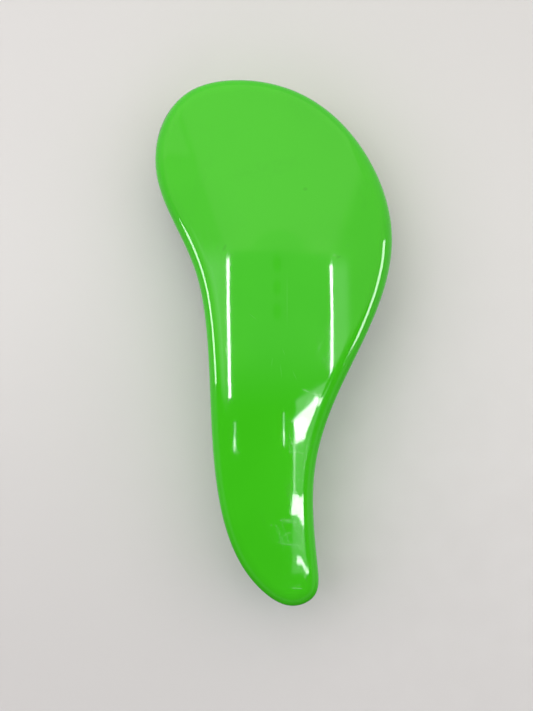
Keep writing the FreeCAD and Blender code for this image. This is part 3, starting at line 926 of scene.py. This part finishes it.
def open_foam():
    """Polyurethane foam: rounded open cells of mixed sizes, darkened inside by painted shade."""
    n = Surface("open_cell_foam", IOR=1.45, **{"Sheen Weight": 0.15})
    wide = n.step(n.cells(n.mm, pitch=0.9).outputs["Distance"], 0.1, 0.55)
    fine = n.step(n.cells(n.mm, pitch=0.45).outputs["Distance"], 0.1, 0.5)
    height = n.math("ADD", wide, n.times(fine, 0.5))
    tone = n.step(n.noise(n.mm, pitch=12.0, detail=3.0), 0.3, 0.7)
    colour = n.blend(tone, FOAM_GREY, FOAM_PALER)
    # Painted shade where the foam is low, inside the cells.
    n.give("Base Color", n.blend(n.step(height, 0.9, 0.1), colour, FOAM_CELL_SHADE))
    n.give("Roughness", n.step(tone, 0.0, 1.0, low=0.88, high=0.97))
    n.give("Normal", n.bump(height, 0.3 * MM))
    return n.material


STEEL_DIE_LINE = (0.58, 0.58, 0.58)
STEEL_BRIGHT = (0.74, 0.74, 0.74)
STEEL_TARNISH = (0.45, 0.42, 0.38)


def drawn_steel():
    """Bright drawn wire, with die lines along it and a little tarnish."""
    n = Surface("drawn_steel", Metallic=1.0)
    drawn = n.place(n.mm, scale=(1.0, 1.0, 0.04))
    lines = n.noise(drawn, pitch=0.07, detail=3.0, rough=0.6)
    tarnish = n.step(n.noise(n.mm, pitch=3.0, detail=4.0, rough=0.6), 0.45, 0.75)
    colour = n.blend(lines, STEEL_DIE_LINE, STEEL_BRIGHT)
    n.give("Base Color", n.blend(n.times(tarnish, 0.4), colour, STEEL_TARNISH))
    n.give("Roughness", n.step(tarnish, 0.0, 1.0, low=0.20, high=0.36))
    n.give("Normal", n.bump(lines, 0.006 * MM))
    return n.material


ZINC_DARK = (0.54, 0.55, 0.56)
ZINC_BRIGHT = (0.70, 0.70, 0.69)


def zinc_plate():
    """The screws: plated, with a fine spangle."""
    n = Surface("zinc_plate", Metallic=1.0)
    cells = n.cells(n.mm, pitch=0.5)
    spangle = n.add("SeparateColor", {0: cells.outputs["Color"]}).outputs[0]
    n.give("Base Color", n.blend(spangle, ZINC_DARK, ZINC_BRIGHT))
    cloud = n.noise(n.mm, pitch=0.6, detail=3.0)
    n.give("Roughness", n.step(cloud, 0.3, 0.7, low=0.28, high=0.48))
    n.give("Normal", n.bump(n.noise(n.mm, pitch=0.2, detail=3.0), 0.01 * MM))
    return n.material


NATURAL = (0.66, 0.66, 0.63)
NATURAL_LIGHTER = (0.76, 0.76, 0.73)


def natural_plastic():
    """The backing plate: uncoloured moulding with faint flow marks."""
    n = Surface("natural_plastic", IOR=1.5)
    flow = n.step(n.noise(n.mm, pitch=14.0, detail=4.0, rough=0.6, warp=1.5), 0.35, 0.65)
    n.give("Base Color", n.blend(flow, NATURAL, NATURAL_LIGHTER))
    n.give("Roughness", n.step(flow, 0.0, 1.0, low=0.34, high=0.48))
    n.give("Normal", n.bump(n.noise(n.mm, pitch=0.8, detail=3.0), 0.02 * MM))
    return n.material


# The first colour is painted shade, a little greyer, that the board takes behind the grip.
BOARD_PAINTED_SHADE = (0.644, 0.636, 0.678)
BOARD = (0.770, 0.764, 0.812)
BOARD_FLECK = (0.50, 0.51, 0.50)

# Where the board's painted shade begins and ends to fade, turning it paler towards the head, and how uneven
# that is: millimetres.
BOARD_SHADE_SPAN = (-110.0, 90.0)
BOARD_SHADE_UNEVEN = 60.0


def pale_board():
    """The floor: matt white board with faint flecks, and painted shade that makes it a little greyer behind
    the grip.
    """
    n = Surface("pale_board", IOR=1.45)
    _, y, _ = n.add("SeparateXYZ", {0: n.mm}).outputs
    shade_drift = n.math("MULTIPLY_ADD", n.noise(n.mm, pitch=90.0), BOARD_SHADE_UNEVEN, y)
    # Painted shade: greyer behind the grip, fading towards the head.
    colour = n.blend(n.step(shade_drift, *BOARD_SHADE_SPAN), BOARD_PAINTED_SHADE, BOARD)
    flecks = n.specks(pitch=21.0, share=0.25, radius=0.4)
    n.give("Base Color", n.blend(n.times(flecks, 0.3), colour, BOARD_FLECK))
    cloud = n.noise(n.mm, pitch=8.0, detail=3.0)
    n.give("Roughness", n.step(cloud, 0.3, 0.7, low=0.55, high=0.68))
    n.give("Normal", n.bump(n.noise(n.mm, pitch=0.9, detail=3.0), 0.015 * MM))
    return n.material


def coat(objects, material):
    """Gives objects one material all over."""
    for o in objects:
        o.data.materials.clear()
        o.data.materials.append(material)
        for polygon in o.data.polygons:
            polygon.material_index = 0


# ------------------------ studio

LIGHT_PLANE = 0.300
FLOOR_REACH = 6.0
FLOOR_SIDES = 96

# How bright the surround is, by where it lies: ahead of the brush, over it, beside it and behind it.
CEILING = (1.26, 1.20, 0.98)
LEFT_WALL = (0.92, 0.90, 0.72)
RIGHT_WALL = (0.78, 0.76, 0.62)
OVERHEAD = (0.60, 0.60, 0.58)
BEHIND = (0.09, 0.10, 0.09)
GLOW = (3.3, 3.5, 3.3)
HORIZON = (0.46, 0.46, 0.45)
HORIZON_BEHIND = (0.28, 0.28, 0.28)
HORIZON_AHEAD = (0.66, 0.65, 0.61)
UNDER_AHEAD = (0.55, 0.56, 0.54)
UNDER_BEHIND = (0.05, 0.06, 0.05)
SOFT_TINT = (0.98, 0.94, 1.0)

# Below this height a direction's place overhead, which runs off to infinity, is held.
LOWEST = 0.02

# Seams run along ahead = slope * right + level, on a level plane one unit up.
SIDE_SLOPE = 0.98
BACK_SLOPE = -0.19
LEFT_SEAM = -0.06
BACK_SEAM = 0.356
RIGHT_SEAM = -0.16
SHADOW_EDGES = (-0.075, -0.04)
SHADOW_END = 0.33

# The dim panel over the brush: where it ends ahead, and the bay in that end.
PANEL_END = 0.203
BAY = ((0.036, PANEL_END), 0.31, 0.09)

# The dark spots down the middle of that panel: how far right, how far ahead and how large each is.
SPOT_RIGHT = 0.025
SPOTS_AHEAD = (0.075, 0.125, 0.175)
SPOT_SIZE = (0.05, 0.034)

# Pale sheets round the tubes: left, right, low and high edge, how soft they are, and how bright.
GLOWS = [
    (-0.74, -0.27, -0.11, 0.20, 0.035, 0.30),
    (-0.46, -0.34, -0.09, 0.19, 0.050, 0.30),
    (0.36, 0.47, -0.06, 0.19, 0.035, 0.45),
]


def make_floor():
    """A wide plain board, which polished surfaces don't mirror."""
    rim = circle((0.0, 0.0), FLOOR_REACH, FLOOR_SIDES)
    vertices = [(0.0, 0.0, 0.0), *raised(rim, 0.0)]
    faces = [(0, k + 1, (k + 1) % FLOOR_SIDES + 1) for k in range(FLOOR_SIDES)]
    floor = new_object("floor", vertices, faces)
    coat([floor], pale_board())
    floor.visible_glossy = False


class Surround(Nodes):
    """The world's nodes. x, y and z are a direction from the brush.

    right and ahead are where that direction meets a level plane one unit up."""

    def __init__(self, world):
        super().__init__(world.node_tree)
        direction = self.add("TexCoord").outputs["Generated"]
        self.x, self.y, self.z = self.add("SeparateXYZ", {0: direction}).outputs
        height = self.math("MAXIMUM", self.z, LOWEST)
        self.right = self.math("DIVIDE", self.x, height)
        self.ahead = self.math("DIVIDE", self.y, height)

    def beyond(self, slope, level, blur=0.012):
        """1 ahead of a seam."""
        over = self.math("MULTIPLY_ADD", self.right, slope, level)
        return self.step(self.math("SUBTRACT", self.ahead, over), -blur, blur)

    def spot(self, centre, wide, tall):
        """1 inside an ellipse, with a soft edge."""
        across = self.math("DIVIDE", self.math("SUBTRACT", self.right, centre[0]), wide / 2)
        along = self.math("DIVIDE", self.math("SUBTRACT", self.ahead, centre[1]), tall / 2)
        squares = self.math("MULTIPLY_ADD", across, across, self.times(along, along))
        return self.step(squares, 1.15, 0.85)

    def sheet(self, left, right, low, high, blur, share):
        """share inside a rectangle, fading to 0 over blur each side of its edges."""
        from_left = self.step(self.right, left - blur, left + blur)
        to_right = self.step(self.right, right + blur, right - blur)
        from_low = self.step(self.ahead, low - blur, low + blur)
        to_high = self.step(self.ahead, high + blur, high - blur)
        across = self.times(from_left, to_right)
        along = self.times(from_low, to_high)
        return self.times(self.times(across, along), share)


def walls(n):
    """Ceiling ahead and a wall on each side, with a thin shadow along the left seam."""
    is_ceiling = n.math("MAXIMUM", n.beyond(-SIDE_SLOPE, LEFT_SEAM), n.beyond(BACK_SLOPE, BACK_SEAM))
    colour = n.blend(is_ceiling, LEFT_WALL, CEILING)
    near, far = (n.beyond(-SIDE_SLOPE, level, 0.02) for level in SHADOW_EDGES)
    shadow = n.times(n.math("SUBTRACT", near, far), n.beyond(BACK_SLOPE, SHADOW_END, 0.03))
    colour = n.blend(n.times(shadow, 0.3), colour, BEHIND)
    return n.blend(n.beyond(SIDE_SLOPE, RIGHT_SEAM, 0.06), RIGHT_WALL, colour)


def panel_overhead(n, colour):
    """The dim panel over the brush with its dark spots, and the dark behind it."""
    between = n.times(n.step(n.right, -0.26, -0.24), n.step(n.right, 0.36, 0.33))
    within = n.math("SUBTRACT", 1.0, n.beyond(0.0, PANEL_END, 0.006))
    within = n.math("MAXIMUM", within, n.times(n.spot(*BAY), 0.45))
    colour = n.blend(n.times(between, within), colour, OVERHEAD)
    for ahead in SPOTS_AHEAD:
        dark = n.times(n.spot((SPOT_RIGHT, ahead), *SPOT_SIZE), 0.5)
        colour = n.blend(dark, colour, BEHIND)
    return n.blend(n.step(n.ahead, -0.15, 0.03), BEHIND, colour)


def low_down(n, colour):
    """The surround near the horizon, ahead (y above 0) and behind, and below it (z under 0)."""
    horizon = n.blend(n.step(n.y, -0.8, -0.2), HORIZON_BEHIND, HORIZON)
    level = n.times(n.step(n.z, 0.40, 0.26), n.step(n.y, 0.6, 0.1))
    colour = n.blend(level, colour, horizon)
    level_ahead = n.times(n.step(n.z, 0.28, 0.12), n.step(n.y, 0.1, 0.6))
    colour = n.blend(level_ahead, colour, HORIZON_AHEAD)
    under = n.blend(n.step(n.y, -0.6, 0.1), UNDER_BEHIND, UNDER_AHEAD)
    return n.blend(n.step(n.z, -0.02, -0.14), colour, under)


def make_sky():
    """The surround: a pale booth, open and dim behind the brush."""
    world = bpy.data.worlds.new("studio")
    world.use_nodes = True
    n = Surround(world)
    colour = panel_overhead(n, walls(n))
    for glow in GLOWS:
        colour = n.blend(n.sheet(*glow), colour, GLOW)
    lit = n.add("Background", {"Color": low_down(n, colour), "Strength": 1.0})
    n.add("OutputWorld", {"Surface": lit.outputs[0]})
    bpy.context.scene.world = world


def panel(name, place, aim, wide, tall, radiance):
    """A flat soft light at a place, facing a point, with an even glow."""
    lamp = bpy.data.lights.new(name, "AREA")
    lamp.shape = "RECTANGLE"
    lamp.size, lamp.size_y = wide, tall
    lamp.energy = radiance * math.pi * wide * tall
    made = bpy.data.objects.new(name, lamp)
    bpy.context.scene.collection.objects.link(made)
    made.location = place
    facing = Vector(aim) - Vector(place)
    made.rotation_euler = facing.to_track_quat("-Z", "Y").to_euler()
    made.visible_camera = False
    return made


def mirrored(*facts):
    """A light that shows only where a surface mirrors it."""
    panel(*facts).visible_diffuse = False


def overhead(name, left, right, bottom, top, radiance, turn=0.0, lift=0.0):
    """A mirrored light straight above, facing down, for the tubes and windows of a room.

    Its edges are in millimetres, and it is turned about its middle, in degrees. Where lights
    overlap, the one with the smaller lift hides the other."""
    x, y = (left + right) / 2 * MM, (bottom + top) / 2 * MM
    lamp = panel(
        name,
        (x, y, LIGHT_PLANE + lift),
        (x, y, 0),
        (right - left) * MM,
        (top - bottom) * MM,
        radiance,
    )
    lamp.rotation_euler.z += math.radians(turn)
    lamp.visible_diffuse = False


def soft(name, place, side, radiance):
    """A broad square light that shades the brush and the board but isn't mirrored in them."""
    lamp = panel(name, place, (0, 0, 0), side, side, radiance)
    lamp.data.color = SOFT_TINT
    lamp.visible_glossy = False


def make_lights():
    """Tubes and windows that the polished back mirrors, and soft lights that it doesn't."""
    overhead("tube_left", -86.9, -82.3, -47, 80, 40, turn=2)
    overhead("tube_right", 112.5, 117.5, -29, 75, 34)
    overhead("window", 41, 91, -76, -56, 22, turn=24, lift=0.002)
    overhead("window_left", 42, 64, -87, -68, 20, turn=10, lift=0.003)
    overhead("window_tip", 80, 164, -68, -60, 18, turn=-20, lift=0.004)
    overhead("window_haze", 44, 110, -57, -41, 2.2, turn=15, lift=0.006)
    overhead("window_foot", 40, 215, -222, -68, 1.3, lift=0.008)
    overhead("window_edge", 40.5, 43.5, -136, -84, 8, lift=0.004)
    overhead("window_pane", 37, 243, -167, -147, 22, turn=-6)
    overhead("window_sill", 48, 302, -221, -213, 20, turn=-6)
    overhead("streak_left", -73.9, -72.5, -96, -70, 16, turn=-5)
    overhead("streak_left_foot", -75.2, -72.8, -97, -84, 18, turn=-5, lift=0.001)
    overhead("streak_right", 20.4, 21.6, -82, -60, 16)
    overhead("streak_right_foot", 19.8, 22.0, -90, -76, 18, lift=0.001)
    mirrored("side_left", (-0.30, -0.011, 0.120), (0, -0.011, 0.02), 0.058, 0.065, 14.0)
    mirrored("side_right", (0.30, 0.0, 0.132), (0, 0.0, 0.02), 0.17, 0.075, 12.0)
    soft("key", (-0.14, 0.20, 0.40), 0.30, 0.80)
    soft("fill_left", (-0.42, -0.02, 0.30), 0.50, 0.86)
    soft("fill_right", (0.42, -0.02, 0.30), 0.50, 0.70)
    soft("fill_behind", (0.02, -0.45, 0.34), 0.50, 0.62)


CAMERA_PLACE = (-2.48 * MM, -4.5 * MM, 0.450)

# How much of the length the picture's height takes in, on a level plane this high.
SEEN_LONG = 0.2517
SEEN_AT = 0.021


def make_camera():
    """Straight above the brush, with its head towards the top of the picture."""
    camera = bpy.data.objects.new("camera", bpy.data.cameras.new("camera"))
    bpy.context.scene.collection.objects.link(camera)
    camera.location = CAMERA_PLACE
    distance = CAMERA_PLACE[2] - SEEN_AT
    camera.data.lens = distance / SEEN_LONG * camera.data.sensor_width
    camera.data.dof.use_dof = False
    bpy.context.scene.camera = camera
    bpy.context.scene.view_settings.view_transform = "Standard"


# ------------------------ build


def place(piece, body, slot, *nodes):
    """A finished piece takes its place on a body and stands for its CAD nodes."""
    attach(piece, body)
    if nodes:
        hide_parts(*nodes)


make_camera()
cover = make_back_shell()
place(cover, "casing", "shell", "back_shell")
posts = make_inside()
place(posts, "casing", "shell")
coat([cover, posts, NODES["front_shell"]], green_plastic())

wire_nodes = sorted(n for n in NODES if n.startswith("wire_row_"))
rng = np.random.default_rng(STRAY_SEED)
pins, all_legs = [], []
for node in wire_nodes:
    wires, legs = make_wires(node, rng)
    pins.append(wires)
    all_legs += legs
    place(wires, "pin_pad", "pin_wire", node)
coat(pins, drawn_steel())

rubber = make_rubber(all_legs)
place(rubber, "pin_pad", "rubber", "rubber_face")
coat([rubber], pad_rubber())

canvas = make_canvas(all_legs)
place(canvas, "pin_pad", "canvas", "canvas_ply")
coat([canvas], plain_weave())

foam = make_foam()
place(foam, "casing", "foam", "foam_cushion")
coat([foam], open_foam())
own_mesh(foam)

coat([NODES["pad_bezel"]], charcoal_plastic())
coat([NODES["backing_plate"]], natural_plastic())
coat([NODES["plate_screws"]], zinc_plate())

make_floor()
make_sky()
make_lights()
